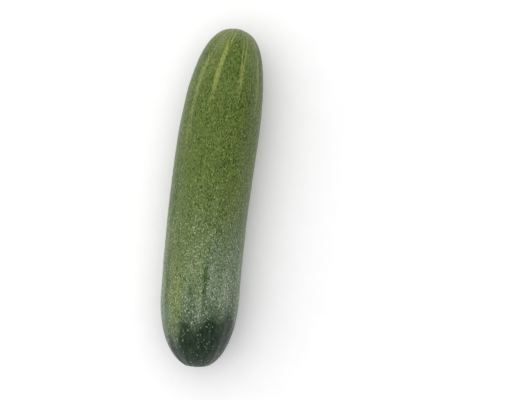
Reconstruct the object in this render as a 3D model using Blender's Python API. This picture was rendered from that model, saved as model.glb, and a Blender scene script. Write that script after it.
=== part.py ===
"""A fresh cucumber lying on its side, grown as one piece.

The fruit lies along Y, its blossom end towards +Y and its cut stem towards -Y. It is a stack of
rings carried along a slightly bowed line: a round body that tapers a little, closed by a long dome at
the blossom end and a shorter one at the stem end. Shallow grooves run from end to end along the
stripes of the skin. The stem end has a dimple with a cut stub in it, and the blossom end a small scar.
A narrow flat along the underside is what it rests on.
"""

import math

import bmesh
import bpy
import numpy as np
from mathutils import Matrix

# Driving dimensions, in metres
LENGTH = 0.190  # from the blossom tip to the face of the cut stub
BLOSSOM_END_DIAMETER = 0.0460  # the body's taper, carried on to the blossom tip
STEM_END_DIAMETER = 0.0439  # the same taper, carried on to the stem tip
BLOSSOM_DOME_LENGTH = 0.0725
STEM_DOME_LENGTH = 0.0401
BLOSSOM_DOME_FULLNESS = 2.61  # exponent of the superellipse, where 2 is an ellipse
STEM_DOME_FULLNESS = 2.14
SIDEWAYS_BOW = 0.0042  # how far the middle stands towards -X of a line between the tips
FLAT_DEPTH = 0.00035  # how deep the resting flat goes into the round underside

# The three fused carpels leave the section very slightly three-sided
LOBE_COUNT = 3
LOBE_HEIGHT = 0.00022
LOBE_TURN = math.radians(20.0)

# Grooves, one under each stripe. Angles run from the crest (+Z) towards +X
GROOVE_ANGLES = (-48.8, -19.9, 17.1, 53.2, 90.5, 126.5, 164.0, 200.0, 237.5, 273.5)  # in degrees
GROOVE_TWIST = math.radians(12.9)  # how far the grooves swing towards +X at the blossom tip
GROOVE_TWIST_LENGTH = 0.022  # over this distance most of the swing is gone
GROOVE_SHARPNESS = 3.0  # larger is narrower, with a broader rib between two grooves
GROOVE_DEPTH_BLOSSOM_END = 0.00036
GROOVE_DEPTH_BODY = 0.00012
GROOVE_DEPTH_STEM_END = 0.00036
GROOVE_FADE_LENGTH = 0.030  # how far from each end the grooves stay deep
GROOVE_START_RADIUS = 0.0030  # no groove nearer to the axis than this
GROOVE_FULL_RADIUS = 0.0090

# The dimple at the stem end and the cut stub that stands in it
DIMPLE_RADIUS = 0.0048
DIMPLE_DEPTH = 0.0024
STUB_RADIUS = 0.0032
STUB_PROUD = 0.0005  # how far its face stands past the shoulder round the dimple
STUB_BEVEL = 0.0003
STUB_CORNERS = 5
STUB_CORNER_HEIGHT = 0.0002

# The scar that the flower left
SCAR_RADIUS = 0.0028
SCAR_DEPTH = 0.0005
SCAR_FLOOR = 0.7  # share of the scar's radius that its sunk floor takes
SCAR_RIM_HEIGHT = 0.0002
SCAR_RIM_WIDTH = 0.25  # as a share of the scar's radius

SHARP_ANGLE = math.radians(40.0)  # edges sharper than this are not shaded smooth

# Mesh density
COLUMNS = 80  # eight to each groove
BLOSSOM_DOME_RINGS = 22
BODY_RINGS = 14
STEM_DOME_RINGS = 15
STATION_CROWDING = 1.25  # above 1, a dome's rings crowd towards its tip
SCAR_RING_SHARES = (0.4, 0.75, 1.0, 1.3)  # of the scar's radius
DIMPLE_RING_RADII = (0.0060, 0.0054, 0.0048, 0.0042, 0.0037)

# Finishes: the slot's place on the object, colour and roughness
SKIN_SLOT, STUB_SLOT, SCAR_SLOT = 0, 1, 2
FINISHES = (
    ("cucumber_skin", (0.105, 0.165, 0.050, 1.0), 0.38),
    ("cut_stub", (0.330, 0.300, 0.130, 1.0), 0.80),
    ("blossom_scar", (0.260, 0.180, 0.080, 1.0), 0.85),
)


def clear_scene():
    for obj in list(bpy.data.objects):
        bpy.data.objects.remove(obj, do_unlink=True)


def smooth_step(low, high, value):
    """0 below low, 1 above high, and a smooth rise between them."""
    share = np.clip((value - low) / (high - low), 0.0, 1.0)
    return share * share * (3.0 - 2.0 * share)


def dome_drop(radius, end_radius, dome_length, fullness):
    """How far a superellipse dome has dropped from its tip where it is this wide."""
    share = np.clip(radius / end_radius, 0.0, 1.0)
    return dome_length * (1.0 - (1.0 - share**fullness) ** (1.0 / fullness))


def stem_dome_drop(radius):
    return dome_drop(radius, STEM_END_DIAMETER / 2, STEM_DOME_LENGTH, STEM_DOME_FULLNESS)


def blossom_dome_drop(radius):
    return dome_drop(radius, BLOSSOM_END_DIAMETER / 2, BLOSSOM_DOME_LENGTH, BLOSSOM_DOME_FULLNESS)


def dimple_sink(radius):
    """How far the dimple goes in, below the stem dome."""
    return DIMPLE_DEPTH * np.exp(-((radius / DIMPLE_RADIUS) ** 4))


def scar_sink(radius):
    """How far the scar goes in, below the blossom dome, with the low rim round it."""
    share = radius / SCAR_RADIUS
    rim = SCAR_RIM_HEIGHT * np.exp(-(((share - 1.0) / SCAR_RIM_WIDTH) ** 2))
    return SCAR_DEPTH * np.exp(-((share / SCAR_FLOOR) ** 4)) - rim


# The shoulder is the foremost circle round the dimple, and the stub's face stands just past it
END_RADII = np.linspace(STUB_RADIUS, 2 * DIMPLE_RADIUS, 400)
SHOULDER_DROP = float(np.min(stem_dome_drop(END_RADII) + dimple_sink(END_RADII)))
STUB_FACE_DROP = SHOULDER_DROP - STUB_PROUD
DOME_TO_DOME = LENGTH + STUB_FACE_DROP  # the length if the stem dome ran on to its own tip


def body_radius(along):
    """Radius of the tapering body, at this distance from the blossom tip."""
    share = along / DOME_TO_DOME
    return 0.5 * (BLOSSOM_END_DIAMETER + (STEM_END_DIAMETER - BLOSSOM_END_DIAMETER) * share)


def dome_width(from_tip, dome_length, fullness):
    """Share of the body's radius that a dome has at this distance from its tip."""
    inward = np.clip(1.0 - from_tip / dome_length, 0.0, 1.0)
    return (1.0 - inward**fullness) ** (1.0 / fullness)


def side_radius(along):
    """Radius of the fruit at this distance from the blossom tip, with both domes."""
    return (
        body_radius(along)
        * dome_width(along, BLOSSOM_DOME_LENGTH, BLOSSOM_DOME_FULLNESS)
        * dome_width(DOME_TO_DOME - along, STEM_DOME_LENGTH, STEM_DOME_FULLNESS)
    )


def dome_stations(dome_length, fullness, count):
    """Distances from the tip for the rings of one dome, close together where it turns in.

    The last one is where the dome meets the body.
    """
    turns = 0.5 * math.pi * (np.arange(1, count + 1) / count) ** STATION_CROWDING
    return dome_length * (1.0 - np.cos(turns) ** (2.0 / fullness))


def profile():
    """The rings from the scar to the stub: distance from the blossom tip, radius and material slot."""
    scar_radii = [share * SCAR_RADIUS for share in SCAR_RING_SHARES]
    rings = [(blossom_dome_drop(r) + scar_sink(r), r, SCAR_SLOT) for r in scar_radii]

    blossom = dome_stations(BLOSSOM_DOME_LENGTH, BLOSSOM_DOME_FULLNESS, BLOSSOM_DOME_RINGS)
    stem = DOME_TO_DOME - dome_stations(STEM_DOME_LENGTH, STEM_DOME_FULLNESS, STEM_DOME_RINGS)[::-1]
    body = np.linspace(blossom[-1], stem[0], BODY_RINGS + 2)[1:-1]
    for along in (*blossom, *body):
        radius = side_radius(along)
        if radius > scar_radii[-1]:
            rings.append((along + scar_sink(radius), radius, SKIN_SLOT))
    for along in stem:
        radius = side_radius(along)
        if radius > DIMPLE_RING_RADII[0]:
            rings.append((along - dimple_sink(radius), radius, SKIN_SLOT))

    dimple_radii = (*DIMPLE_RING_RADII, STUB_RADIUS)
    rings += [(DOME_TO_DOME - stem_dome_drop(r) - dimple_sink(r), r, SKIN_SLOT) for r in dimple_radii]
    stub_face = DOME_TO_DOME - STUB_FACE_DROP
    rings += [
        (stub_face - STUB_BEVEL, STUB_RADIUS, STUB_SLOT),
        (stub_face, STUB_RADIUS - STUB_BEVEL, STUB_SLOT),
        (stub_face, 0.5 * STUB_RADIUS, STUB_SLOT),
    ]
    return rings


def lobe_height(angles):
    return LOBE_HEIGHT * np.cos(LOBE_COUNT * (angles - LOBE_TURN))


def groove_shape(along, angles):
    """1 along the bottom of each groove and near 0 on the ribs between them.

    The twist fades away from the blossom tip. What is left of the angle is counted in grooves, from
    one groove's angle to the next, and a cosine of that count has its tops at the grooves.
    """
    untwisted = np.degrees(angles - GROOVE_TWIST * math.exp(-along / GROOVE_TWIST_LENGTH))
    first = GROOVE_ANGLES[0]
    past_first = np.mod(untwisted - first, 360.0)
    starts = [turned - first for turned in GROOVE_ANGLES] + [360.0]
    groove_number = np.interp(past_first, starts, np.arange(len(starts)))
    return (0.5 + 0.5 * np.cos(2 * math.pi * groove_number)) ** GROOVE_SHARPNESS


def groove_depth(along, radius):
    """Deepest at the two ends, faint along the body, and gone at the poles."""
    from_stem = DOME_TO_DOME - along
    blossom = GROOVE_DEPTH_BLOSSOM_END * math.exp(-((along / GROOVE_FADE_LENGTH) ** 2))
    stem = GROOVE_DEPTH_STEM_END * math.exp(-((from_stem / GROOVE_FADE_LENGTH) ** 2))
    return (GROOVE_DEPTH_BODY + blossom + stem) * smooth_step(
        GROOVE_START_RADIUS, GROOVE_FULL_RADIUS, radius
    )


def centre_line(along):
    """Centre of a ring and the direction of its +X side, on a line bowed like a shallow parabola.

    Its height keeps the underside level while the body tapers.
    """
    middle = 0.5 * DOME_TO_DOME
    share = (middle - along) / middle
    slope = 2.0 * SIDEWAYS_BOW * share / middle
    underside = body_radius(along) + lobe_height(math.pi)
    centre = np.array([-SIDEWAYS_BOW * (1.0 - share * share), middle - along, underside - FLAT_DEPTH])
    sideways = np.array([1.0, -slope, 0.0]) / math.hypot(1.0, slope)
    return centre, sideways


def ring_points(along, radius, slot):
    """The points of one ring, square to the centre line, with its lobes and grooves or its corners."""
    angles = np.arange(COLUMNS) * (2 * math.pi / COLUMNS)
    if slot == STUB_SLOT:
        relief = STUB_CORNER_HEIGHT * np.cos(STUB_CORNERS * angles)
    else:
        relief = smooth_step(0.0, GROOVE_FULL_RADIUS, radius) * lobe_height(angles)
        relief = relief - groove_depth(along, radius) * groove_shape(along, angles)
    reach = (radius + relief)[:, None]
    centre, sideways = centre_line(along)
    upwards = np.array([0.0, 0.0, 1.0])
    return centre + reach * (np.sin(angles)[:, None] * sideways + np.cos(angles)[:, None] * upwards)


def add_ring(bm, points):
    """Puts one closed loop of edges into the mesh and returns its edges."""
    corners = [bm.verts.new(point) for point in points]
    return [bm.edges.new((corners[i - 1], corners[i])) for i in range(len(corners))]


def cap_ring(bm, edges, slot):
    """Closes the inside of a ring with a fan of triangles round its centre."""
    filled = bmesh.ops.contextual_create(bm, geom=edges)
    fan = bmesh.ops.poke(bm, faces=filled["faces"])
    for face in fan["faces"]:
        face.material_index = slot


def press_flat(bm):
    """Cuts the surface along the ground plane, then presses what is below up to it."""
    everything = bm.verts[:] + bm.edges[:] + bm.faces[:]
    bmesh.ops.bisect_plane(bm, geom=everything, dist=1e-6, plane_co=(0, 0, 0), plane_no=(0, 0, 1))
    for corner in bm.verts:
        if corner.co.z < 1e-6:
            corner.co.z = 0.0


def centre_footprint(mesh):
    """Moves the mesh so that the middle of its footprint is the origin."""
    corners = np.array([vertex.co for vertex in mesh.vertices])
    middle = 0.5 * (corners.min(axis=0) + corners.max(axis=0))
    mesh.transform(Matrix.Translation((-middle[0], -middle[1], 0.0)))


def plain_material(name, colour, roughness):
    material = bpy.data.materials.new(name)
    material.use_nodes = True
    shader = material.node_tree.nodes["Principled BSDF"]
    shader.inputs["Base Color"].default_value = colour
    shader.inputs["Roughness"].default_value = roughness
    shader.inputs["Metallic"].default_value = 0.0
    material.diffuse_color = colour
    return material


def build_cucumber():
    bm = bmesh.new()
    rings = profile()
    loops = [add_ring(bm, ring_points(along, radius, slot)) for along, radius, slot in rings]
    for near, far, (_, _, slot) in zip(loops, loops[1:], rings[1:]):
        wall = bmesh.ops.bridge_loops(bm, edges=near + far)
        for face in wall["faces"]:
            face.material_index = slot
    cap_ring(bm, loops[0], SCAR_SLOT)
    cap_ring(bm, loops[-1], STUB_SLOT)
    press_flat(bm)
    bmesh.ops.recalc_face_normals(bm, faces=bm.faces)

    mesh = bpy.data.meshes.new("cucumber")
    bm.to_mesh(mesh)
    bm.free()
    centre_footprint(mesh)
    mesh.shade_smooth()
    mesh.set_sharp_from_angle(angle=SHARP_ANGLE)
    for name, colour, roughness in FINISHES:
        mesh.materials.append(plain_material(name, colour, roughness))
    cucumber = bpy.data.objects.new("cucumber", mesh)
    bpy.context.scene.collection.objects.link(cucumber)


clear_scene()
build_cucumber()
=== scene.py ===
# %% [markdown]
# # A fresh cucumber, skin and all
#
# A cucumber is a berry: one closed skin over wet flesh. Nothing on it is a separate part, so the
# work of this lesson is one good surface and one good finish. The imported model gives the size, the
# place and the plain form. Everything here is worked out around it, in metres, with the fruit lying
# along Y, its blossom end towards +Y and its cut stem towards -Y.

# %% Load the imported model
import math

import bpy
import numpy as np
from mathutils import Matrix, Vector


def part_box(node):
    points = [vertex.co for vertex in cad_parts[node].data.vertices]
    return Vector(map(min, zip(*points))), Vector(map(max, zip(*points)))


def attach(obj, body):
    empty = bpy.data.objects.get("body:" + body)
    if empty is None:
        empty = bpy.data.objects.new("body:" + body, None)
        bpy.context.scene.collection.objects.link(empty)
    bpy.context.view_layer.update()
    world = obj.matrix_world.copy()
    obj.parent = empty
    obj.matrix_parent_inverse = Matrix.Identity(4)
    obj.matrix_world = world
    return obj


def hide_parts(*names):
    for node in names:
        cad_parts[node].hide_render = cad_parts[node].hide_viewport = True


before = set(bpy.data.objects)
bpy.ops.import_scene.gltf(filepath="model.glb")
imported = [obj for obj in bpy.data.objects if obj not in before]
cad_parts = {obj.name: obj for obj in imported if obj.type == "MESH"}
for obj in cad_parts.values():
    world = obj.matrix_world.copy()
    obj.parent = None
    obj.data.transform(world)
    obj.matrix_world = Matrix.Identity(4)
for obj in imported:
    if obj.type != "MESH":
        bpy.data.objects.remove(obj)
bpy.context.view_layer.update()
fruit_low, fruit_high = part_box("cucumber")
MM = 0.001
box_mm = [round(side / MM, 1) for side in fruit_high - fruit_low]
print("nodes:", sorted(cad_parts), "box in mm:", box_mm)

# %% [markdown]
# ## The form of the fruit
#
# The body is nearly a cylinder that tapers a little. A long dome closes it at the blossom end and a
# shorter one at the stem. One could model that by pushing vertices about, but a turned profile says
# it in a few numbers: each dome is a superellipse, rounder than an ellipse where its exponent is
# over 2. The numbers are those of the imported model, so the fine surface lies on the plain one.

# %% Sizes of the fruit
LENGTH = 0.190
BLOSSOM_END_DIAMETER = 0.0460
STEM_END_DIAMETER = 0.0439
BLOSSOM_DOME_LENGTH = 0.0725
STEM_DOME_LENGTH = 0.0401
BLOSSOM_DOME_FULLNESS = 2.61
STEM_DOME_FULLNESS = 2.14
SIDEWAYS_BOW = 0.0042
FLAT_DEPTH = 0.00035

DIMPLE_RADIUS = 0.0048
DIMPLE_DEPTH = 0.0024
STUB_RADIUS = 0.0032
STUB_PROUD = 0.0005

SCAR_RADIUS = 0.0028
SCAR_DEPTH = 0.0005
SCAR_FLOOR = 0.7
SCAR_RIM_HEIGHT = 0.0002
SCAR_RIM_WIDTH = 0.25

END_STEPS = 400
OUTLINE_STEPS = 20001


def smooth_step(low, high, value):
    """0 below low, 1 above high, and a smooth rise between: 3t squared less 2t cubed."""
    share = np.clip((value - low) / (high - low), 0.0, 1.0)
    return share * share * (3.0 - 2.0 * share)


def bump(value, middle, width):
    """1 at the middle, falling off on both sides as a bell: e to the minus square of the distance."""
    return np.exp(-(((value - middle) / width) ** 2))


def dome_drop(radius, end_radius, dome_length, fullness):
    """Drop from a superellipse dome's tip: length times one less the nth root of one less share to the n."""
    share = np.clip(radius / end_radius, 0.0, 1.0)
    return dome_length * (1.0 - (1.0 - share**fullness) ** (1.0 / fullness))


def dimple_sink(radius):
    """Depth of the dimple at the stem: a flat-bottomed bell, e to the minus fourth power."""
    return DIMPLE_DEPTH * np.exp(-((radius / DIMPLE_RADIUS) ** 4))


def scar_sink(radius):
    """Depth of the scar at the blossom end: a flat-bottomed bell less a narrow bell for its rim."""
    share = radius / SCAR_RADIUS
    rim = SCAR_RIM_HEIGHT * bump(share, 1.0, SCAR_RIM_WIDTH)
    return SCAR_DEPTH * np.exp(-((share / SCAR_FLOOR) ** 4)) - rim


end_radii = np.linspace(STUB_RADIUS, 2 * DIMPLE_RADIUS, END_STEPS)
shoulder = dome_drop(end_radii, STEM_END_DIAMETER / 2, STEM_DOME_LENGTH, STEM_DOME_FULLNESS)
STUB_FACE_DROP = float(np.min(shoulder + dimple_sink(end_radii))) - STUB_PROUD
DOME_TO_DOME = LENGTH + STUB_FACE_DROP
print("from dome to dome:", round(DOME_TO_DOME / MM, 2), "mm")


def body_radius(along):
    """Radius of the tapering body: a straight line from one end diameter to the other."""
    share = along / DOME_TO_DOME
    return 0.5 * (BLOSSOM_END_DIAMETER + (STEM_END_DIAMETER - BLOSSOM_END_DIAMETER) * share)


def dome_width(from_tip, dome_length, fullness):
    """Share of the full radius inside a dome: the superellipse read the other way round."""
    inward = np.clip(1.0 - from_tip / dome_length, 0.0, 1.0)
    return (1.0 - inward**fullness) ** (1.0 / fullness)


def side_radius(along):
    """Radius at a distance from the blossom tip: the body's, times both domes' shares."""
    blossom = dome_width(along, BLOSSOM_DOME_LENGTH, BLOSSOM_DOME_FULLNESS)
    stem = dome_width(DOME_TO_DOME - along, STEM_DOME_LENGTH, STEM_DOME_FULLNESS)
    return body_radius(along) * blossom * stem


def even_profile(rings):
    """Stations and radii of the whole skin, evenly spaced along its outline.

    A dense first outline crowds its stations towards both tips. Its running length is then cut into
    equal steps, and the stations are read off at each step.
    """
    dense = DOME_TO_DOME * 0.5 * (1.0 - np.cos(np.linspace(0.0, math.pi, OUTLINE_STEPS)))
    radius = side_radius(dense)
    blossom_half = dense < 0.5 * DOME_TO_DOME
    station = dense + np.where(blossom_half, scar_sink(radius), -dimple_sink(radius))
    run = np.concatenate([[0.0], np.cumsum(np.hypot(np.diff(station), np.diff(radius)))])
    steps = np.linspace(0.0, run[-1], rings + 2)
    return np.interp(steps, run, station), np.interp(steps, run, radius), run[-1]


# %% [markdown]
# ## Where a point goes
#
# The fruit is bowed sideways by a few millimetres. Rather than bend a finished mesh, each ring is
# put square to a bowed centre line as it is made. The same function places the skin, the stub and
# the scar, so that they sit together exactly.

# %% The bowed centre line
LOBE_COUNT = 3
LOBE_HEIGHT = 0.00022
LOBE_TURN = math.radians(20.0)


def lobe_height(angles):
    """The three fused carpels: a cosine of three times the angle."""
    return LOBE_HEIGHT * np.cos(LOBE_COUNT * (angles - LOBE_TURN))


def carry(along, reach, angles):
    """Points at a distance from the blossom tip, a reach from the centre line and an angle.

    The centre line is a parabola seen from above, and its height keeps the underside level. Angles
    run from the crest, +Z, towards +X.
    """
    middle = 0.5 * DOME_TO_DOME
    share = (middle - along) / middle
    slope = 2.0 * SIDEWAYS_BOW * share / middle
    across = reach * np.sin(angles) / np.hypot(1.0, slope)
    x = -SIDEWAYS_BOW * (1.0 - share**2) + across
    y = middle - along - slope * across
    z = body_radius(along) + lobe_height(math.pi) - FLAT_DEPTH + reach * np.cos(angles)
    return np.stack(np.broadcast_arrays(x, y, z), axis=-1)


# %% [markdown]
# ## Stripes and grooves
#
# Ten pale stripes start at the blossom end, each in a shallow groove, and fade along the body. They
# are nearly even, and they swing to one side as they near the tip. Counting angle in stripes, from
# one stripe to the next, turns all ten into one cosine. The count is worth keeping: it says which
# stripe a point belongs to and how far across it lies, so the colours can use it again.

# %% The ten stripes
STRIPE_ANGLES = (-48.8, -19.9, 17.1, 53.2, 90.5, 126.5, 164.0, 200.0, 237.5, 273.5)
STRIPE_COUNT = len(STRIPE_ANGLES)
TIP_TWIST = math.radians(12.9)
TIP_TWIST_LENGTH = 0.022
GROOVE_SHARPNESS = 3.0
GROOVE_DEPTH_BLOSSOM_END = 0.00036
GROOVE_DEPTH_BODY = 0.00012
GROOVE_DEPTH_STEM_END = 0.00036
GROOVE_FADE_LENGTH = 0.030
GROOVE_START_RADIUS = 0.0030
GROOVE_FULL_RADIUS = 0.0090


def untwisted(along, angles):
    """The angle that a point would have without the swing at the blossom tip."""
    return angles - TIP_TWIST * np.exp(-along / TIP_TWIST_LENGTH)


def stripe_phase(along, angles):
    """Ten turns of phase round the fruit, a whole number of turns at the middle of each stripe."""
    first = STRIPE_ANGLES[0]
    past_first = np.mod(np.degrees(untwisted(along, angles)) - first, 360.0)
    starts = [turned - first for turned in STRIPE_ANGLES] + [360.0]
    return 2 * math.pi * np.interp(past_first, starts, np.arange(len(starts)))


def groove_depth(along, radius, phase):
    """Grooves that are deepest at both ends: a cosine of the phase, sharpened by a power."""
    blossom = GROOVE_DEPTH_BLOSSOM_END * bump(along, 0.0, GROOVE_FADE_LENGTH)
    stem = GROOVE_DEPTH_STEM_END * bump(along, DOME_TO_DOME, GROOVE_FADE_LENGTH)
    start = smooth_step(GROOVE_START_RADIUS, GROOVE_FULL_RADIUS, radius)
    return (GROOVE_DEPTH_BODY + blossom + stem) * start * (0.5 + 0.5 * np.cos(phase)) ** GROOVE_SHARPNESS


# %% [markdown]
# ## Unevenness that only a mesh can hold
#
# Real skin is never a clean curve. It has slow swellings a few centimetres long, and small pimples
# and pits two or three millimetres across. A bump map would leave the outline smooth, so these go
# into the mesh. They are value noise: random heights on a coarse lattice, joined by smooth steps,
# with the lattice closed round the fruit so that no seam shows.

# %% Noise on the skin
def skin_noise(rows, turn_shares, along_cells, around_cells, seed):
    """Heights from -1 to 1 on the grid: lattice values blended by smooth steps both ways."""
    lattice = np.random.default_rng(seed).uniform(-1.0, 1.0, (along_cells + 2, around_cells))
    row = np.clip(rows, 0.0, 1.0) * along_cells
    column = np.mod(turn_shares, 1.0) * around_cells
    low_row = np.floor(row).astype(int)
    low_column = np.floor(column).astype(int)
    row_mix = smooth_step(0.0, 1.0, row - low_row)
    column_mix = smooth_step(0.0, 1.0, column - low_column)
    left = low_column % around_cells
    right = (low_column + 1) % around_cells
    near = lattice[low_row, left] * (1 - column_mix) + lattice[low_row, right] * column_mix
    far = lattice[low_row + 1, left] * (1 - column_mix) + lattice[low_row + 1, right] * column_mix
    return near * (1 - row_mix) + far * row_mix


# Each layer: cells along the fruit, cells round it, height in metres
SWELLINGS = ((7, 5, 0.00018), (18, 9, 0.00008), (60, 26, 0.00004), (110, 60, 0.000022))
PUCKER_HEIGHT = 0.00022
PUCKER_FROM_STEM = 0.012
PUCKER_PHASE = 0.9

SKIN_RINGS = 300
SKIN_COLUMNS = 318
ring_along, ring_radius, outline_length = even_profile(SKIN_RINGS)
along = ring_along[1:-1, None]
radius = ring_radius[1:-1, None]
turn = (np.arange(SKIN_COLUMNS) / SKIN_COLUMNS)[None, :]
angle = 2 * math.pi * turn
phase = stripe_phase(along, angle)
row_share = np.broadcast_to(np.linspace(0.0, 1.0, SKIN_RINGS)[:, None], phase.shape)
turn_share = np.broadcast_to(turn, phase.shape)

swelling = np.zeros(phase.shape)
for layer, (cells_along, cells_round, height) in enumerate(SWELLINGS):
    swelling += height * skin_noise(row_share, turn_share, cells_along, cells_round, seed=11 + layer)
pucker = PUCKER_HEIGHT * np.cos(phase + PUCKER_PHASE) * bump(DOME_TO_DOME - along, 0.0, PUCKER_FROM_STEM)

open_end = smooth_step(GROOVE_START_RADIUS, GROOVE_FULL_RADIUS, radius)
lobes = smooth_step(0.0, GROOVE_FULL_RADIUS, radius) * lobe_height(angle)
relief = lobes - groove_depth(along, radius, phase) + open_end * (swelling + pucker)
print("skin grid:", phase.shape, "cell in mm:", round(outline_length / SKIN_RINGS / MM, 2), "by",
      round(math.pi * BLOSSOM_END_DIAMETER / SKIN_COLUMNS / MM, 2))

# %% [markdown]
# ## From arrays to a closed mesh
#
# A grid round a fruit closes on itself sideways and ends in a pole at each tip. Every pole is one
# shared point with a fan of triangles, never a ring of points in one place, so the surface has no
# hole and no doubled edge. The order of each face's corners decides which side is out, and the
# signed volume proves it: it is positive only when faces point outwards.

# %% Closing a grid into a mesh
def closed_faces(rings, columns):
    """Quads between neighbouring rings and a fan at each pole; point 0 and the last are the poles."""
    ring = np.arange(rings - 1)[:, None]
    column = np.arange(columns)[None, :]
    beside = (column + 1) % columns
    near = 1 + ring * columns
    quads = np.stack(np.broadcast_arrays(near + column, near + columns + column,
                                         near + columns + beside, near + beside), axis=-1)
    last = 1 + (rings - 1) * columns
    first_fan = np.stack(np.broadcast_arrays(0, 1 + column, 1 + beside), axis=-1)
    last_fan = np.stack(np.broadcast_arrays(last + columns, last + beside, last + column), axis=-1)
    fans = np.concatenate([first_fan.reshape(-1, 3), last_fan.reshape(-1, 3)])
    return quads.reshape(-1, 4).tolist() + fans.tolist()


def signed_volume(points, faces):
    """Sum over triangles of a sixth of the box product of their corners, in cubic metres."""
    halves = [(face[0], face[2], face[3]) for face in faces if len(face) == 4]
    corners = np.array([face[:3] for face in faces] + halves)
    first, second, third = (points[corners[:, corner]] for corner in range(3))
    return float(np.einsum("ij,ij->", first, np.cross(second, third)) / 6.0)


CM3 = 1e-6


def closed_piece(name, first_pole, grid, last_pole):
    """Makes an object of a grid of points and its two poles, smooth shaded and linked to the scene."""
    rings, columns, _ = grid.shape
    points = np.concatenate([first_pole.reshape(1, 3), grid.reshape(-1, 3), last_pole.reshape(1, 3)])
    faces = closed_faces(rings, columns)
    mesh = bpy.data.meshes.new(name)
    mesh.from_pydata(points.tolist(), [], faces)
    mesh.shade_smooth()
    piece = bpy.data.objects.new(name, mesh)
    bpy.context.scene.collection.objects.link(piece)
    volume = signed_volume(points, faces) / CM3
    if volume <= 0.0:
        raise ValueError(name + " is inside out")
    print(name, "triangles:", 2 * (rings - 1) * columns + 2 * columns, "volume in cm3:", round(volume, 3))
    return piece


# %% [markdown]
# ## The skin
#
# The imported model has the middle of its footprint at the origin. The fine surface is centred in the
# same box, then whatever lies below the ground is pressed up to it: that is the flat strip the
# fruit rests on.

# %% Building the skin
unsettled = carry(along, radius + relief, angle)
footprint_middle = 0.5 * (unsettled.min(axis=(0, 1)) + unsettled.max(axis=(0, 1)))
box_middle = 0.5 * (np.array(fruit_low) + np.array(fruit_high))
TO_BOX = np.array([box_middle[0] - footprint_middle[0], box_middle[1] - footprint_middle[1], 0.0])


def settle(points):
    """Moves points from the fruit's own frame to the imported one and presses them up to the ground."""
    moved = points + TO_BOX
    moved[..., 2] = np.maximum(moved[..., 2], 0.0)
    return moved


def turned_piece(name, first_along, along, reach, angles, last_along):
    """Carries a grid to its place, and two poles on the centre line, and closes them into a piece."""
    poles = settle(carry(np.array([first_along, last_along]), np.zeros(2), np.zeros(2)))
    return closed_piece(name, poles[0], settle(carry(along, reach, angles)), poles[1])


skin = turned_piece("cucumber_skin", ring_along[0], along, radius + relief, angle, ring_along[-1])
print("moved to the box by, in mm:", (TO_BOX / MM).round(2))

# %% [markdown]
# ## Telling the skin where it is
#
# Most of what one sees on a cucumber follows the fruit: stripes from the tip, paler ribs, a dark end
# at the stem. The finish could guess at these from plain coordinates, but the mesh already knows
# them. Each becomes a named attribute, a number at every vertex, which the material reads. Ragged
# edges and specks are finer than the mesh, so the material adds those itself.

# %% A place on a straightened fruit, and the stripes
def keep_attribute(piece, name, values):
    """Stores one number or one vector a vertex, with each pole taking the mean of its ring."""
    values = np.asarray(values, dtype=np.float32)
    every = np.concatenate([values[0].mean(axis=0, keepdims=True),
                            values.reshape((-1,) + values.shape[2:]),
                            values[-1].mean(axis=0, keepdims=True)])
    kind, field = ("FLOAT_VECTOR", "vector") if every.ndim == 2 else ("FLOAT", "value")
    stored = piece.data.attributes.new(name, kind, "POINT")
    stored.data.foreach_set(field, every.ravel())


def keep_place(piece, reach, along, angles):
    """Stores each point's place in mm as if the centre line were straight: sine, length and cosine."""
    across = reach / MM * np.sin(angles)
    up = reach / MM * np.cos(angles)
    keep_attribute(piece, "place_mm", np.stack(np.broadcast_arrays(across, -along / MM, up), axis=-1))


tip_mm = np.broadcast_to(along / MM, phase.shape)
radius_mm = np.broadcast_to(radius / MM, phase.shape)
degrees = np.degrees((np.broadcast_to(angle, phase.shape) + math.pi) % (2 * math.pi) - math.pi)
keep_place(skin, radius, along, untwisted(along, angle))

half_turn = (phase + math.pi) % (2 * math.pi) - math.pi
stripe_number = np.round((phase - half_turn) / (2 * math.pi)).astype(int) % STRIPE_COUNT
STRIPE_BREADTH = np.array([1.2, 0.98, 0.92, 0.8, 0.9, 1.1, 0.9, 1.0, 0.85, 1.0])
STRIPE_WANDER = 0.3
wander = STRIPE_WANDER * skin_noise(row_share, turn_share, 26, 20, seed=31)
stripe_mm = (half_turn / STRIPE_COUNT * radius_mm + wander) / STRIPE_BREADTH[stripe_number]
keep_attribute(skin, "stripe_mm", stripe_mm)

# How far each stripe runs from the blossom tip before it thins out, in mm
STRIPE_REACH = np.array([76.0, 54.0, 46.0, 50.0, 41.0, 52.0, 44.0, 48.0, 39.0, 47.0])
STRIPE_BRIGHTNESS = np.array([0.7, 1.0, 0.85, 0.65, 0.7, 0.8, 0.75, 0.85, 0.7, 0.7])
THIN_FROM = 0.62
THIN_TO = 1.12
RAGGED_END = 9.0
reach = STRIPE_REACH[stripe_number]
patchy = 0.5 + 0.5 * skin_noise(row_share, turn_share, 48, 20, seed=32)
thinned = smooth_step(THIN_FROM * reach, THIN_TO * reach, tip_mm + RAGGED_END * patchy)
stripe = STRIPE_BRIGHTNESS[stripe_number] * (1.0 - thinned)

# Past the dome the stripes break up into patches
BREAK_UP = 0.7
stripe = stripe * (1.0 - BREAK_UP * smooth_step(26.0, 56.0, tip_mm) * (1.0 - patchy))

# The first stripe is faint where it leaves the tip
FAINT_STRIPE = 0
FAINTNESS = 0.6
faint = np.where(stripe_number == FAINT_STRIPE, FAINTNESS * (1.0 - smooth_step(14.0, 24.0, tip_mm)), 0.0)
keep_attribute(skin, "stripe", stripe * smooth_step(1.0, 3.5, tip_mm) * (1.0 - faint))

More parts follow.
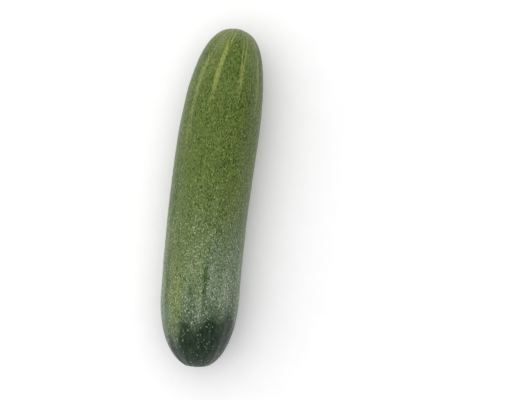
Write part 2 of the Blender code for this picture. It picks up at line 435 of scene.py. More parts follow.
# Near the tip a stripe is two pale edges with a dark line between them, up to these many mm
SPLIT_REACH = np.array([17.0, 12.5, 21.0, 14.0, 18.0, 12.0, 16.0, 20.0, 13.0, 15.0])
SPLIT_CLOSING = 4.0
SPLIT_WANDER = 3.0
split_reach = SPLIT_REACH[stripe_number] + SPLIT_WANDER * (patchy - 0.5)
keep_attribute(skin, "split", 1.0 - smooth_step(split_reach - SPLIT_CLOSING, split_reach, tip_mm))

# %% [markdown]
# ## Ribs, bands and the dark end
#
# Between the stripes the ribs take turns: every other one is paler. Past the middle the paler ribs
# widen into broad yellowish bands, then all of them end at a dark cap round the stem, whose border
# wanders. Half the phase of the stripes gives the taking of turns, for nothing.

# %% Broad colour fields
RIB_BRIGHTNESS = np.array([1.0, 0.4, 0.9, 0.7, 0.9])
RIB_WANDER = 0.35
NARROW_RIB = 2.2
WIDE_RIB = 0.9
rib_turn = (phase - math.pi) / 2.0
rib_number = np.round(rib_turn / (2 * math.pi)).astype(int) % len(RIB_BRIGHTNESS)
rib = 0.5 + 0.5 * np.cos(rib_turn + RIB_WANDER * skin_noise(row_share, turn_share, 12, 10, seed=41))
rib_start = smooth_step(48.0, 80.0, tip_mm)
rib_width = NARROW_RIB + (WIDE_RIB - NARROW_RIB) * smooth_step(95.0, 150.0, tip_mm)
band_end = smooth_step(152.0, 168.0, tip_mm + 4.0 * patchy)
keep_attribute(skin, "band", RIB_BRIGHTNESS[rib_number] * rib**rib_width * rib_start * (1.0 - band_end))

# The tip is olive, furthest along the paler ribs, in mm
TIP_GROOVE_REACH = 13.0
TIP_RIB_REACH = 24.0
tip_end = TIP_GROOVE_REACH + TIP_RIB_REACH * rib
keep_attribute(skin, "tip", 1.0 - smooth_step(2.0, tip_end, tip_mm + 5.0 * patchy))

# Where the dark cap begins, in mm from the blossom tip, at these angles in degrees from the crest
CAP_ANGLES = (-180.0, -150.0, -120.0, -90.0, -60.0, -45.0, -28.0, -17.0,
              0.0, 12.0, 45.0, 75.0, 110.0, 150.0, 180.0)
CAP_BORDER = (161.0, 166.0, 162.0, 170.0, 174.0, 176.0, 167.0, 165.0,
              161.0, 162.0, 157.0, 161.0, 165.0, 159.0, 161.0)
TONGUE_LENGTH = 3.0
TONGUE_WANDER = 2.0
tongues = TONGUE_LENGTH * np.cos(phase) + TONGUE_WANDER * skin_noise(row_share, turn_share, 60, 24, seed=42)
cap_mm = tip_mm - np.interp(degrees, CAP_ANGLES, CAP_BORDER) + tongues
keep_attribute(skin, "cap_mm", cap_mm)

# Where the green turns bluer, in mm from the blossom tip, at these angles in degrees from the crest
BLUE_ANGLES = (-180.0, -130.0, -75.0, -52.0, -26.0, -20.0, 5.0, 12.0, 60.0, 100.0, 140.0, 180.0)
BLUE_START = (118.0, 140.0, 122.0, 168.0, 168.0, 144.0, 141.0, 125.0, 118.0, 138.0, 112.0, 118.0)
BLUE_WANDER_DEGREES = 7.0
BLUE_WANDER = 10.0
blue_at = degrees + BLUE_WANDER_DEGREES * skin_noise(row_share, turn_share, 40, 12, seed=43)
blue_mm = tip_mm - np.interp(blue_at, BLUE_ANGLES, BLUE_START) + BLUE_WANDER * patchy + tongues
keep_attribute(skin, "bluer", smooth_step(-16.0, 24.0, blue_mm))
keep_attribute(skin, "paler", smooth_step(80.0, 124.0, tip_mm + 8.0 * patchy))

# %% [markdown]
# ## Specks, streaks and blemishes
#
# Pale specks crowd the stem half and are rare near the blossom. The mesh holds only how densely they
# lie, and the material draws them. A few marks that anyone would notice are placed one by one, each
# as a bell on the skin. The hidden side gets its own, drawn at random with a fixed seed.

# %% Densities and single marks
def marks(places):
    """Sum of bells on the skin: e to the minus squares of how far along and how far across, times a strength.

    Each mark has its distance from the tip in mm, its angle in degrees, its length and width in mm
    and its strength.
    """
    total = np.zeros(phase.shape)
    for station, turned, length, width, strength in places:
        across = ((degrees - turned + 180.0) % 360.0 - 180.0) * np.pi / 180.0 * radius_mm
        total += strength * np.exp(-(((tip_mm - station) / length) ** 2) - (across / width) ** 2)
    return total


UNSEEN_STATIONS = (14.0, 172.0)
UNSEEN_ANGLES = (62.0, 298.0)


def random_marks(count, lengths, widths, strengths, seed):
    """Marks with drawn places on the sides and underside, which no view of the crest shows."""
    draw = np.random.default_rng(seed)
    ranges = (UNSEEN_STATIONS, UNSEEN_ANGLES, lengths, widths, strengths)
    return [tuple(draw.uniform(*limits) for limits in ranges) for _ in range(count)]


dark_marks = marks([
    (143.0, 7.0, 14.0, 1.1, 1.3),
    (150.0, -9.0, 9.0, 3.4, 0.45),
    (88.0, -56.0, 40.0, 1.7, 0.28),
    (142.0, -57.0, 18.0, 2.2, 0.45),
    (18.0, -50.0, 1.6, 0.8, 0.8),
    (28.0, -57.0, 2.0, 1.2, 0.9),
    (97.0, -56.0, 1.8, 1.2, 0.8),
    (105.0, -57.5, 1.5, 1.0, 0.8),
    (11.0, -9.0, 1.2, 0.6, 0.8),
] + random_marks(26, (1.2, 5.0), (0.6, 1.6), (0.3, 0.8), seed=51))
keep_attribute(skin, "dark_mark", np.clip(dark_marks, 0.0, 1.0))

# Specks are rare at the tip, grow denser past the middle and thin out a little before the cap
speck = 0.03 + 0.27 * smooth_step(30.0, 100.0, tip_mm) + 0.50 * smooth_step(98.0, 126.0, tip_mm)
speck = speck * (0.8 - 0.2 * rib) * (1.0 - 0.25 * smooth_step(150.0, 165.0, tip_mm))
speck = speck + 0.14 * smooth_step(124.0, 140.0, tip_mm)

# Lanes where they crowd or, below zero, where they are few
lanes = marks([
    (122.0, -9.0, 15.0, 5.5, 0.12),
    (150.0, 2.0, 12.0, 1.6, 0.35),
    (150.0, -17.0, 11.0, 1.6, 0.25),
    (142.0, 37.0, 22.0, 3.0, 0.35),
    (150.0, -33.0, 13.0, 1.4, 0.25),
    (148.0, -47.0, 13.0, 1.4, 0.20),
    (138.0, -56.0, 24.0, 2.0, -0.35),
    (136.0, -42.0, 16.0, 4.0, -0.25),
    (150.0, -9.0, 9.0, 3.2, -0.50),
    (138.0, 57.0, 22.0, 3.0, -0.35),
])
speck = np.clip(speck + lanes, 0.0, 1.0) * (1.0 - 0.8 * np.clip(dark_marks, 0.0, 1.0))

# The cap is nearly bare but for a few rows
CAP_BARENESS = 0.86
in_cap = smooth_step(-6.0, 5.0, cap_mm)
cap_lanes = marks([
    (178.0, 6.0, 7.0, 0.8, 0.22),
    (179.0, -9.0, 6.0, 0.8, 0.16),
    (171.0, 21.0, 10.0, 0.9, 0.30),
    (172.0, -22.0, 9.0, 1.1, 0.25),
    (168.0, 2.0, 7.0, 1.6, 0.12),
])
speck = speck * (1.0 - CAP_BARENESS * in_cap) + cap_lanes * in_cap
keep_attribute(skin, "speck", speck)

# Patches where the band turns yellow: two bells for the seen side, the others drawn for the unseen
UNSEEN_PATCH_ANGLES = (96.0, 148.0, 214.0, 262.0)
yellow_draw = np.random.default_rng(53)
yellow_places = [(149.0, -35.0, 12.5, 4.5, 0.66), (133.0, -44.0, 9.0, 3.0, 0.35)]
for turned in UNSEEN_PATCH_ANGLES:
    station = yellow_draw.uniform(138.0, 152.0)
    length = yellow_draw.uniform(8.0, 13.0)
    width = yellow_draw.uniform(2.5, 4.5)
    strength = yellow_draw.uniform(0.4, 0.9)
    yellow_places.append((station, turned, length, width, strength))
yellow = np.clip(marks(yellow_places), 0.0, 1.0) * (1.0 - smooth_step(-10.0, 4.0, cap_mm))
keep_attribute(skin, "yellow", yellow)

tan_marks = marks([(22.0, -33.5, 2.2, 1.3, 0.6), (60.0, -44.0, 1.4, 0.9, 0.35)]
                  + random_marks(9, (1.0, 2.6), (0.7, 1.4), (0.25, 0.6), seed=52))
keep_attribute(skin, "tan_mark", np.clip(tan_marks, 0.0, 1.0))

# Cork lines both hollows
keep_attribute(skin, "cork", 1.0 - smooth_step(2.4, 4.6, radius_mm + 0.4 * patchy))
quarters = np.floor(4.0 * tip_mm * MM / DOME_TO_DOME)
densities = [round(float(speck[quarters == quarter].mean()), 2) for quarter in range(4)]
print("mean speck density by quarter of the length:", densities)

# %% [markdown]
# ## Nodes, said briefly
#
# A material is a graph, and the plain calls that build one are long. Small helpers keep the recipes
# readable: one puts a node and wires its inputs, and the others use it for sums, smooth steps,
# blends of colours, noise, the mesh's attributes and node groups.

# %% Helpers for node trees
def put(tree, kind, inputs=None, **settings):
    """Adds a shader node; inputs gives values or other nodes' outputs by socket name or number."""
    made = tree.nodes.new("ShaderNode" + kind)
    for name, value in settings.items():
        setattr(made, name, value)
    for socket, value in (inputs or {}).items():
        if isinstance(value, bpy.types.NodeSocket):
            tree.links.new(value, made.inputs[socket])
        else:
            made.inputs[socket].default_value = value
    return made


def sums(tree, operation, first, second=0.0, third=0.0):
    """One arithmetic step on numbers."""
    return put(tree, "Math", {0: first, 1: second, 2: third}, operation=operation).outputs[0]


def times(tree, first, second):
    """The product of two numbers."""
    return sums(tree, "MULTIPLY", first, second)


def rise(tree, value, low, high, to_low=0.0, to_high=1.0):
    """A smooth step as a node: the low output below low, the high one above high."""
    inputs = {"Value": value, "From Min": low, "From Max": high, "To Min": to_low, "To Max": to_high}
    return put(tree, "MapRange", inputs, interpolation_type="SMOOTHSTEP").outputs["Result"]


def blend(tree, share, first, second):
    """Mixes two colours by a share; on a Mix node the colours' sockets are numbers 6, 7 and, out, 2."""
    return put(tree, "Mix", {0: share, 6: first, 7: second}, data_type="RGBA").outputs[2]


def noise(tree, vector, scale, detail=2.0, roughness=0.5):
    """Soft noise about 0.5 at a number of cells a millimetre."""
    inputs = {"Vector": vector, "Scale": scale, "Detail": detail, "Roughness": roughness}
    return put(tree, "TexNoise", inputs).outputs["Fac"]


def stretched(tree, vector, lengthwise):
    """Coordinates drawn out along the fruit, so that cells in them are this many times longer."""
    scale = put(tree, "CombineXYZ", {"X": 1.0, "Y": sums(tree, "DIVIDE", 1.0, lengthwise), "Z": 1.0})
    return put(tree, "VectorMath", {0: vector, 1: scale.outputs[0]}, operation="MULTIPLY").outputs[0]


def attribute(tree, name, output="Fac"):
    """Reads one of the piece's own attributes."""
    return put(tree, "Attribute", attribute_name=name).outputs[output]


def new_group(name, inputs, outputs):
    """An empty node group with named sockets, given as (name, kind, default) and (name, kind)."""
    group = bpy.data.node_groups.new(name, "ShaderNodeTree")
    for socket, kind, default in inputs:
        made = group.interface.new_socket(name=socket, in_out="INPUT", socket_type="NodeSocket" + kind)
        if kind == "Float":
            made.default_value = default
    for socket, kind in outputs:
        group.interface.new_socket(name=socket, in_out="OUTPUT", socket_type="NodeSocket" + kind)
    return group, group.nodes.new("NodeGroupInput").outputs, group.nodes.new("NodeGroupOutput").inputs


def use_group(tree, group, inputs):
    """Places a group in a tree and returns its outputs."""
    return put(tree, "Group", inputs, node_tree=group).outputs


# %% [markdown]
# ## Three effects that every surface shares
#
# Flecks are small separate marks: pale specks on the skin, pores in the cut stub, pits in the scar.
# Each cell of a Voronoi pattern may hold one, and a random number a cell decides whether it does and
# how large it is. Mottle is the cloudy change of tone of anything grown. Grain is the fine height
# that breaks up the shine. All three are groups, so each material sets only its own amounts.

# %% Groups for flecks, mottle and grain
fleck_group, given, result = new_group(
    "flecks",
    [("Place", "Vector", None), ("Spacing", "Float", 1.0), ("Lengthwise", "Float", 1.0),
     ("Density", "Float", 0.5), ("Size", "Float", 0.5)],
    [("Mask", "Float"), ("Each", "Float")],
)
drawn = stretched(fleck_group, given["Place"], given["Lengthwise"])
per_spacing = sums(fleck_group, "DIVIDE", 1.0, given["Spacing"])
per_cell = put(fleck_group, "VectorMath", {0: drawn, "Scale": per_spacing}, operation="SCALE").outputs[0]
ragged = put(fleck_group, "TexNoise", {"Vector": per_cell, "Scale": 1.6, "Detail": 2.0}).outputs["Color"]
pushed = put(fleck_group, "VectorMath", {0: ragged, 1: (0.5, 0.5, 0.5)}, operation="SUBTRACT").outputs[0]
pushed = put(fleck_group, "VectorMath", {0: pushed, 1: (0.6, 0.6, 0.6), 2: per_cell},
             operation="MULTIPLY_ADD").outputs[0]
cells = put(fleck_group, "TexVoronoi", {"Vector": pushed, "Scale": 1.0})
draws = put(fleck_group, "SeparateColor", {"Color": cells.outputs["Color"]}).outputs
held = sums(fleck_group, "GREATER_THAN", given["Density"], draws[0])
widest = times(fleck_group, given["Size"], rise(fleck_group, draws[1], 0.0, 1.0, 0.55, 1.15))
edge = sums(fleck_group, "SUBTRACT", widest, cells.outputs["Distance"])
soft = rise(fleck_group, edge, -0.04, 0.2)
fleck_group.links.new(times(fleck_group, held, soft), result["Mask"])
fleck_group.links.new(draws[2], result["Each"])

mottle_group, given, result = new_group(
    "mottle",
    [("Place", "Vector", None), ("Size", "Float", 2.0), ("Lengthwise", "Float", 1.0),
     ("Contrast", "Float", 1.0)],
    [("Value", "Float")],
)
drawn = stretched(mottle_group, given["Place"], given["Lengthwise"])
per_size = sums(mottle_group, "DIVIDE", 1.0, given["Size"])
cloud = noise(mottle_group, drawn, per_size, detail=3.0, roughness=0.6)
centred = times(mottle_group, sums(mottle_group, "SUBTRACT", cloud, 0.5), given["Contrast"])
clamped = put(mottle_group, "Clamp", {"Value": sums(mottle_group, "ADD", centred, 0.5)})
mottle_group.links.new(clamped.outputs[0], result["Value"])

grain_group, given, result = new_group(
    "grain",
    [("Place", "Vector", None), ("Size", "Float", 0.4), ("Lengthwise", "Float", 1.0)],
    [("Height", "Float")],
)
drawn = stretched(grain_group, given["Place"], given["Lengthwise"])
per_size = sums(grain_group, "DIVIDE", 1.0, given["Size"])
cells = put(grain_group, "TexVoronoi", {"Vector": drawn, "Scale": per_size}, feature="SMOOTH_F1")
coarse = noise(grain_group, drawn, times(grain_group, per_size, 0.3), detail=3.0)
both = sums(grain_group, "MULTIPLY_ADD", cells.outputs["Distance"], 0.5, coarse)
grain_group.links.new(both, result["Height"])


def mottle(tree, place, size, lengthwise, contrast):
    """Clouds of tone from 0 to 1, of a size in mm and drawn out along the fruit."""
    inputs = {"Place": place, "Size": size, "Lengthwise": lengthwise, "Contrast": contrast}
    return use_group(tree, mottle_group, inputs)["Value"]


def flecks(tree, place, spacing, lengthwise, density, size):
    """Separate flecks: their mask, and a random number for each."""
    inputs = {"Place": place, "Spacing": spacing, "Lengthwise": lengthwise, "Density": density, "Size": size}
    return use_group(tree, fleck_group, inputs)


def add_bump(tree, shader, place, size, lengthwise, other, weight, strength, depth):
    """Grain plus another height times its weight, as a bump of a depth in metres on the shader."""
    grain = use_group(tree, grain_group, {"Place": place, "Size": size, "Lengthwise": lengthwise})["Height"]
    height = sums(tree, "MULTIPLY_ADD", other, weight, grain)
    bumped = put(tree, "Bump", {"Strength": strength, "Distance": depth, "Height": height})
    tree.links.new(bumped.outputs["Normal"], shader.inputs["Normal"])


print("groups:", sorted(group.name for group in bpy.data.node_groups))

# %% [markdown]
# ## The skin's finish
#
# Cucumber green is many greens. It is built up as a painter would: a mottled ground, then the
# olive tip, the yellowish bands, a paler and bluer stem half, the pale stripes with ragged edges,
# the dark dashes and single marks, the near-black cap, and last the specks and the cork. The gloss
# is wax: a middling roughness with a thin coat over it, which catches the white room along both
# sides.

# %% Greens
def shade(red, green, blue):
    """A colour given as the linear light it sends back, from 0 to 1."""
    return (red, green, blue, 1.0)


GROUND_DARK = shade(0.014, 0.040, 0.003)
GROUND_LIGHT = shade(0.160, 0.214, 0.048)
TIP_DARK = shade(0.080, 0.115, 0.026)
TIP_LIGHT = shade(0.205, 0.245, 0.085)
STRIPE_PALE = shade(0.245, 0.280, 0.075)
STRIPE_CORE = shade(0.060, 0.095, 0.020)
BAND_OLIVE = shade(0.112, 0.155, 0.040)
BAND_YELLOW = shade(0.195, 0.235, 0.060)
PALE_DARK = shade(0.030, 0.062, 0.014)
PALE_LIGHT = shade(0.195, 0.245, 0.122)
BLUE_DARK = shade(0.025, 0.060, 0.028)
BLUE_LIGHT = shade(0.185, 0.245, 0.165)
CAP_DARK = shade(0.009, 0.021, 0.011)
CAP_LIGHT = shade(0.030, 0.050, 0.029)
SPECK_PALE = shade(0.460, 0.510, 0.360)
SPECK_GREEN = shade(0.270, 0.325, 0.130)
DASH_DARK = shade(0.016, 0.040, 0.006)
MARK_DARK = shade(0.024, 0.060, 0.012)
MARK_TAN = shade(0.210, 0.215, 0.055)
CORK = shade(0.250, 0.225, 0.100)


def new_material(name):
    """A material with an empty tree but for its output and its Principled shader."""
    material = bpy.data.materials.new(name)
    material.use_nodes = True
    return material, material.node_tree, material.node_tree.nodes["Principled BSDF"]


skin_wax, tree, shader = new_material("cucumber_skin_wax")
place = attribute(tree, "place_mm", "Vector")
clouds = mottle(tree, place, size=0.52, lengthwise=2.2, contrast=5.0)
patches = mottle(tree, place, size=5.0, lengthwise=2.6, contrast=2.2)
streaks = mottle(tree, place, size=1.3, lengthwise=16.0, contrast=2.0)
slow = sums(tree, "MULTIPLY_ADD", patches, 0.16, times(tree, streaks, 0.12))
tone = sums(tree, "MULTIPLY_ADD", clouds, 0.72, slow)
colour = blend(tree, tone, GROUND_DARK, GROUND_LIGHT)

tip = attribute(tree, "tip")
colour = blend(tree, times(tree, tip, 0.9), colour, blend(tree, tone, TIP_DARK, TIP_LIGHT))

# Ragged edges: the distance across a stripe is pushed about by noise before it is cut off
push = noise(tree, stretched(tree, place, 1.8), 1.5, detail=3.0, roughness=0.7)
across = sums(tree, "MULTIPLY_ADD", sums(tree, "SUBTRACT", push, 0.5), 2.9, attribute(tree, "stripe_mm"))
off_middle = sums(tree, "ABSOLUTE", across)
whole = rise(tree, off_middle, 0.7, 1.9, 1.0, 0.0)
pair = rise(tree, sums(tree, "ABSOLUTE", sums(tree, "SUBTRACT", off_middle, 0.9)), 0.1, 0.6, 1.0, 0.0)
core = rise(tree, off_middle, 0.1, 0.6, 1.0, 0.0)
split = attribute(tree, "split")
stripe_here = attribute(tree, "stripe")
pale = put(tree, "Mix", {0: split, 2: whole, 3: pair}).outputs[0]
pale = times(tree, times(tree, pale, stripe_here), rise(tree, clouds, 0.05, 0.6, 0.5, 1.0))
core = times(tree, times(tree, core, split), stripe_here)

# The broad fields, each a little uneven with the clouds
band_share = times(tree, attribute(tree, "band"), rise(tree, clouds, 0.2, 0.75, 0.35, 1.0))
colour = blend(tree, band_share, colour, BAND_OLIVE)
paler = attribute(tree, "paler")
colour = blend(tree, times(tree, paler, 0.5), colour, blend(tree, tone, PALE_DARK, PALE_LIGHT))
bluer = attribute(tree, "bluer")
colour = blend(tree, times(tree, bluer, 0.85), colour, blend(tree, tone, BLUE_DARK, BLUE_LIGHT))
colour = blend(tree, pale, colour, STRIPE_PALE)
colour = blend(tree, times(tree, core, 0.8), colour, STRIPE_CORE)
yellow_share = times(tree, attribute(tree, "yellow"), rise(tree, clouds, 0.3, 0.75, 0.0, 1.0))
colour = blend(tree, yellow_share, colour, BAND_YELLOW)

# Short dark dashes, fainter at the tip, and the single marks
dashes = flecks(tree, place, spacing=0.85, lengthwise=2.3, density=0.4, size=0.46)
dash_share = times(tree, dashes["Mask"], sums(tree, "SUBTRACT", 0.76, times(tree, tip, 0.5)))
colour = blend(tree, dash_share, colour, DASH_DARK)
dark_share = times(tree, attribute(tree, "dark_mark"), rise(tree, clouds, 0.2, 0.7, 1.0, 0.5))
colour = blend(tree, dark_share, colour, MARK_DARK)
tan_share = times(tree, attribute(tree, "tan_mark"), rise(tree, clouds, 0.2, 0.7, 0.4, 1.0))
colour = blend(tree, tan_share, colour, MARK_TAN)

# The dark cap: a full core with a paler fringe, both streaked lengthwise
cap_edge = sums(tree, "MULTIPLY_ADD", sums(tree, "SUBTRACT", push, 0.5), 9.0, attribute(tree, "cap_mm"))
cap = sums(tree, "MAXIMUM", rise(tree, cap_edge, -3.0, 5.0), rise(tree, cap_edge, -14.0, 4.0, 0.0, 0.5))
cap_tone = rise(tree, sums(tree, "MULTIPLY_ADD", tone, 0.35, times(tree, streaks, 0.65)), 0.25, 0.85)
colour = blend(tree, cap, colour, blend(tree, cap_tone, CAP_DARK, CAP_LIGHT))

# Two sizes of specks and a faint frost, green near the blossom end and whiter towards the stem
density = attribute(tree, "speck")
large = flecks(tree, place, spacing=1.0, lengthwise=1.4, density=density, size=0.37)
small = flecks(tree, place, spacing=0.7, lengthwise=1.8, density=density, size=0.42)
frosted = sums(tree, "MULTIPLY_ADD", density, 0.2, noise(tree, stretched(tree, place, 1.5), 1.5, detail=1.5))
frost = times(tree, rise(tree, frosted, 0.62, 0.76), density)
large_share = times(tree, large["Mask"], rise(tree, large["Each"], 0.0, 1.0, 0.35, 1.0))
small_share = times(tree, small["Mask"], rise(tree, small["Each"], 0.0, 1.0, 0.2, 1.0))
specks = sums(tree, "MAXIMUM", large_share, small_share)
speck_share = sums(tree, "MAXIMUM", specks, times(tree, frost, 0.35))
speck_share = times(tree, speck_share, rise(tree, cap, 0.0, 1.0, 1.0, 0.7))
whiter = sums(tree, "MAXIMUM", times(tree, paler, 0.42), bluer)
whiter = sums(tree, "MAXIMUM", whiter, cap)
colour = blend(tree, speck_share, colour, blend(tree, whiter, SPECK_GREEN, SPECK_PALE))
colour = blend(tree, attribute(tree, "cork"), colour, CORK)
tree.links.new(colour, shader.inputs["Base Color"])

SKIN_BUMP_DEPTH = 0.00008
add_bump(tree, shader, place, 0.5, 1.6, specks, 0.25, strength=0.5, depth=SKIN_BUMP_DEPTH)
tree.links.new(rise(tree, tone, 0.2, 0.8, 0.46, 0.36), shader.inputs["Roughness"])
shader.inputs["Specular IOR Level"].default_value = 0.25
shader.inputs["Coat Weight"].default_value = 0.08
shader.inputs["Coat Roughness"].default_value = 0.25
skin.data.materials.append(skin_wax)
print("skin finish:", len(tree.nodes), "nodes")

# %% [markdown]
# ## The cut stub of the stalk
#
# The fruit was cut from the vine with a knife, and a few millimetres of stalk stay in the dimple. It
# has five soft corners, and a dry face that has sunk inside its rim, with a ring of sap vessels. It
# is turned like the skin, on a grid of its own, because its detail is ten times finer.

# %% Building the stub
STUB_ROOT = 0.0030
STUB_BEVEL = 0.0003
STUB_CORNERS = 5
STUB_CORNER_HEIGHT = 0.0002
STUB_COLUMNS = 120
STUB_WALL_RINGS = 18
STUB_BEVEL_RINGS = 6
STUB_FACE_RINGS = 30
FACE_DISH = 0.00060
VESSEL_RING = 0.62
VESSEL_WIDTH = 0.1
VESSEL_DEPTH = 0.00022
FIBRE_OUT = 0.00006
FIBRE_DEPTH = 0.00005

# The outline: up the wall, round the bevel and in over the cut face
bevel_turn = np.linspace(0.0, 0.5 * math.pi, STUB_BEVEL_RINGS + 1)[1:]
face_radius = np.linspace(STUB_RADIUS - STUB_BEVEL, 0.0, STUB_FACE_RINGS + 2)[1:-1]
stub_radius = np.concatenate([
    np.full(STUB_WALL_RINGS, STUB_RADIUS),
    STUB_RADIUS - STUB_BEVEL * (1.0 - np.cos(bevel_turn)),
    face_radius,
])[:, None]
stub_drop = np.concatenate([
    np.linspace(STUB_ROOT, STUB_BEVEL, STUB_WALL_RINGS),
    STUB_BEVEL * (1.0 - np.sin(bevel_turn)),
    np.zeros(STUB_FACE_RINGS),
])[:, None]

# The relief, which grows from the middle outwards
stub_angle = (2 * math.pi * np.arange(STUB_COLUMNS) / STUB_COLUMNS)[None, :]
stub_share = stub_radius / STUB_RADIUS
corners = STUB_CORNER_HEIGHT * np.cos(STUB_CORNERS * stub_angle) * stub_share
dish = FACE_DISH * (1.0 - smooth_step(0.55, 0.92, stub_share))
vessels = 0.5 + 0.5 * np.cos(2 * STUB_CORNERS * stub_angle)
vessels = VESSEL_DEPTH * bump(stub_share, VESSEL_RING, VESSEL_WIDTH) * vessels
stub_rows = np.broadcast_to(np.linspace(0.0, 1.0, len(stub_drop))[:, None], corners.shape)
stub_turns = np.broadcast_to(stub_angle / (2 * math.pi), corners.shape)
fibre = skin_noise(stub_rows, stub_turns, 16, 46, seed=61) * stub_share

stub_face = DOME_TO_DOME - STUB_FACE_DROP
stub_out = stub_radius + corners + FIBRE_OUT * fibre
stub_along = stub_face - stub_drop - dish - vessels - FIBRE_DEPTH * np.abs(fibre)
face_middle = float(stub_along[-1].mean())
stub = turned_piece("stalk_stub", stub_face - STUB_ROOT, stub_along, stub_out, stub_angle, face_middle)
keep_place(stub, stub_out, stub_along, stub_angle)
keep_attribute(stub, "rim", np.broadcast_to(smooth_step(0.78, 0.98, stub_share), corners.shape))
keep_attribute(stub, "vessel", vessels / VESSEL_DEPTH)
keep_attribute(stub, "pith", np.broadcast_to(1.0 - smooth_step(0.12, 0.34, stub_share), corners.shape))

# %% Dry cut stalk
STALK_GREEN = shade(0.110, 0.140, 0.045)
STALK_PALE = shade(0.380, 0.350, 0.190)
STALK_BROWN = shade(0.150, 0.100, 0.045)
STALK_PITH = shade(0.520, 0.500, 0.340)

stalk, tree, shader = new_material("dry_cut_stalk")
place = attribute(tree, "place_mm", "Vector")
clouds = mottle(tree, place, size=0.7, lengthwise=1.0, contrast=2.4)
pores = flecks(tree, place, spacing=0.45, lengthwise=1.0, density=0.45, size=0.45)["Mask"]
colour = blend(tree, clouds, STALK_PALE, STALK_BROWN)
colour = blend(tree, times(tree, attribute(tree, "pith"), 0.6), colour, STALK_PITH)
colour = blend(tree, rise(tree, attribute(tree, "vessel"), 0.35, 0.8, 0.0, 0.75), colour, STALK_GREEN)
colour = blend(tree, times(tree, pores, 0.6), colour, STALK_BROWN)
rim_share = times(tree, attribute(tree, "rim"), rise(tree, clouds, 0.1, 0.7, 1.0, 0.5))
colour = blend(tree, rim_share, colour, STALK_GREEN)
tree.links.new(colour, shader.inputs["Base Color"])
DRY_BUMP_DEPTH = 0.0001
add_bump(tree, shader, place, 0.25, 3.0, pores, -0.6, strength=0.8, depth=DRY_BUMP_DEPTH)
tree.links.new(rise(tree, clouds, 0.2, 0.8, 0.72, 0.9), shader.inputs["Roughness"])
stub.data.materials.append(stalk)

# %% [markdown]
# ## The scar of the flower
#
# The flower dries and drops, and leaves a small corky disc in a shallow hollow, cracked from its
# middle like a dry field. It could be a dent in the skin, but cork is rougher than the skin's mesh
# can show. So it is a thin lens that sits in the hollow, with its edge tucked under the skin, and
# no gap shows round its ragged outline.

# %% Building the scar
SCAR_COLUMNS = 120
SCAR_RINGS = 44
SCAR_LENS = 0.00045
LENS_SHARE = 0.92
LENS_RAGGEDNESS = 0.06
CRACK_COUNT = 9
CRACK_DEPTH = 0.00016
CRACK_SHARPNESS = 6
CRUMB_HEIGHT = 0.00006
STYLE_HEIGHT = 0.0004
STYLE_WIDTH = 0.16

over = np.linspace(0.0, math.pi, SCAR_RINGS + 2)[1:-1, None]
scar_angle = (2 * math.pi * np.arange(SCAR_COLUMNS) / SCAR_COLUMNS)[None, :]
scar_radius = LENS_SHARE * SCAR_RADIUS * np.sin(over)
scar_share = scar_radius / SCAR_RADIUS
scar_rows = np.broadcast_to(np.linspace(0.0, 1.0, SCAR_RINGS)[:, None], (SCAR_RINGS, SCAR_COLUMNS))
scar_turns = np.broadcast_to(scar_angle / (2 * math.pi), scar_rows.shape)
crumble = skin_noise(scar_rows, scar_turns, 12, 34, seed=71)
crack_bend = 0.5 * skin_noise(scar_rows, scar_turns, 6, 8, seed=72)
crack_lines = 0.5 + 0.5 * np.cos(CRACK_COUNT * scar_angle + 2 * math.pi * crack_bend)
cracks = CRACK_DEPTH * crack_lines**CRACK_SHARPNESS * smooth_step(0.1, 0.4, scar_share)
style = STYLE_HEIGHT * bump(scar_share, 0.0, STYLE_WIDTH)

# The lens lies on the floor of the hollow, and only its top side is rough
top_side = smooth_step(-0.2, 0.4, np.cos(over))
hollow = dome_drop(scar_radius, BLOSSOM_END_DIAMETER / 2, BLOSSOM_DOME_LENGTH, BLOSSOM_DOME_FULLNESS)
hollow = hollow + scar_sink(scar_radius)
scar_along = hollow - SCAR_LENS * np.cos(over) - top_side * (CRUMB_HEIGHT * crumble - cracks + style)
scar_out = scar_radius * (1.0 + LENS_RAGGEDNESS * skin_noise(scar_rows, scar_turns, 3, 14, seed=73))
scar_top = float(scar_along[0].mean())
scar_bottom = float(scar_along[-1].mean())
scar = turned_piece("flower_scar", scar_top, scar_along, scar_out, scar_angle, scar_bottom)
keep_place(scar, scar_out, scar_along, scar_angle)
keep_attribute(scar, "crack", np.clip(cracks / CRACK_DEPTH, 0.0, 1.0))

# %% Dry cork
CORK_PALE = shade(0.380, 0.300, 0.160)
CORK_BROWN = shade(0.140, 0.090, 0.040)

cork, tree, shader = new_material("dry_cork")
place = attribute(tree, "place_mm", "Vector")
clouds = mottle(tree, place, size=0.6, lengthwise=1.0, contrast=2.6)
pits = flecks(tree, place, spacing=0.4, lengthwise=1.0, density=0.4, size=0.42)["Mask"]
colour = blend(tree, clouds, CORK_PALE, CORK_BROWN)
brown_share = sums(tree, "MAXIMUM", times(tree, pits, 0.6), attribute(tree, "crack"))
colour = blend(tree, brown_share, colour, CORK_BROWN)
tree.links.new(colour, shader.inputs["Base Color"])
add_bump(tree, shader, place, 0.22, 1.0, pits, -0.5, strength=0.8, depth=DRY_BUMP_DEPTH)
tree.links.new(rise(tree, clouds, 0.2, 0.8, 0.8, 0.95), shader.inputs["Roughness"])
scar.data.materials.append(cork)

# %% [markdown]
# ## Telling the frame what the pieces are
#
# The fruit is one body, so all three pieces ride on it and together stand for its one solid.

# %% Riding on the body
for piece in (skin, stub, scar):
    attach(piece, "root")
    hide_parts("cucumber")
    print(piece.name, "rides on root in place of cucumber")

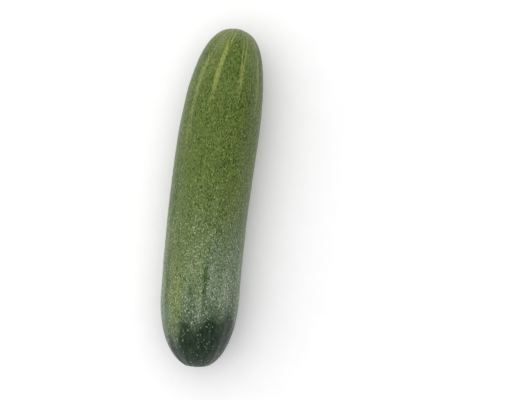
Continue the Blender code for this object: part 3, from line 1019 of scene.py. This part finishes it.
# %% [markdown]
# ## Floor, light and camera
#
# The fruit lies on a plain white table and is seen from straight above. A lamp as wide as half the
# sky, a little to the left, gives it its form and a soft shadow. It is a lamp without falloff, so the
# table stays evenly pale out to its far edge. The skin doesn't mirror the lamp but the room, which is
# bright near the ground and dim overhead: the crest then keeps its deep green, while both sides
# mirror the bright walls and turn pale, as wax does.

# %% Floor
FLOOR_SIZE = 8.0
FLOOR_DROP = 0.00005
half = FLOOR_SIZE / 2
floor_mesh = bpy.data.meshes.new("table")
floor_corners = [(x, y, -FLOOR_DROP) for x, y in ((-half, -half), (half, -half), (half, half), (-half, half))]
floor_mesh.from_pydata(floor_corners, [], [(0, 1, 2, 3)])
floor = bpy.data.objects.new("table", floor_mesh)
bpy.context.scene.collection.objects.link(floor)
table_white, tree, shader = new_material("white_table")
fibres = noise(tree, put(tree, "TexCoord").outputs["Object"], 90.0, detail=3.0)
TABLE_WHITES = (shade(0.86, 0.86, 0.86), shade(0.89, 0.89, 0.89))
tree.links.new(blend(tree, fibres, *TABLE_WHITES), shader.inputs["Base Color"])
shader.inputs["Roughness"].default_value = 0.9
shader.inputs["Specular IOR Level"].default_value = 0.1
floor.data.materials.append(table_white)

# %% Room
OVERHEAD = shade(0.10, 0.10, 0.10)
WALLS = shade(0.9, 0.9, 0.9)
NEAR_WALL = shade(0.34, 0.34, 0.34)
world = bpy.data.worlds.new("white_room")
world.use_nodes = True
bpy.context.scene.world = world
tree = world.node_tree
direction = put(tree, "TexCoord").outputs["Generated"]
parts = put(tree, "SeparateXYZ", {0: direction}).outputs
walls = blend(tree, rise(tree, parts["Y"], -0.9, -0.3), NEAR_WALL, WALLS)
room = blend(tree, rise(tree, parts["Z"], 0.0, 0.5), walls, OVERHEAD)
tree.links.new(room, tree.nodes["Background"].inputs["Color"])


def soft_sky(name, place, aim, spread, strength):
    """A lamp without falloff, as wide in the sky as the spread in degrees, which lights from a place."""
    lamp_data = bpy.data.lights.new(name, "SUN")
    lamp_data.angle = math.radians(spread)
    lamp_data.energy = strength
    lamp = bpy.data.objects.new(name, lamp_data)
    bpy.context.scene.collection.objects.link(lamp)
    lamp.location = place
    towards = Vector(aim) - Vector(place)
    lamp.rotation_euler = towards.to_track_quat("-Z", "Y").to_euler()
    lamp.visible_camera = False
    lamp.visible_glossy = False
    print(name, "as wide as", spread, "degrees")


soft_sky("lamp_overhead_left", place=(-0.22, 0.12, 1.0), aim=(0.0, 0.0, 0.02), spread=100.0, strength=3.35)

# %% Camera
PICTURE_WIDTH = 512
PICTURE_HEIGHT = 400
MM_PER_PIXEL = 0.5600
FRUIT_MIDDLE_PIXEL = (218.1, 198.55)
FRUIT_LEAN = math.radians(7.1)
FRUIT_MIDDLE = (0.0042, -0.0003)
SIGHT_HEIGHT = 0.0225
LENS = 85.0
SENSOR = 36.0

view_width = PICTURE_WIDTH * MM_PER_PIXEL * MM
distance = view_width * LENS / SENSOR
right_by = (PICTURE_WIDTH / 2 - FRUIT_MIDDLE_PIXEL[0]) * MM_PER_PIXEL * MM
up_by = (FRUIT_MIDDLE_PIXEL[1] - PICTURE_HEIGHT / 2) * MM_PER_PIXEL * MM
camera_x = FRUIT_MIDDLE[0] + right_by * math.cos(FRUIT_LEAN) - up_by * math.sin(FRUIT_LEAN)
camera_y = FRUIT_MIDDLE[1] + right_by * math.sin(FRUIT_LEAN) + up_by * math.cos(FRUIT_LEAN)
camera_data = bpy.data.cameras.new("camera")
camera_data.lens = LENS
camera_data.sensor_width = SENSOR
camera = bpy.data.objects.new("camera", camera_data)
bpy.context.scene.collection.objects.link(camera)
camera.location = (camera_x, camera_y, SIGHT_HEIGHT + distance)
camera.rotation_euler = (0.0, 0.0, FRUIT_LEAN)
bpy.context.scene.camera = camera
bpy.context.scene.view_settings.view_transform = "Standard"
print("camera at", [round(part, 4) for part in camera.location])
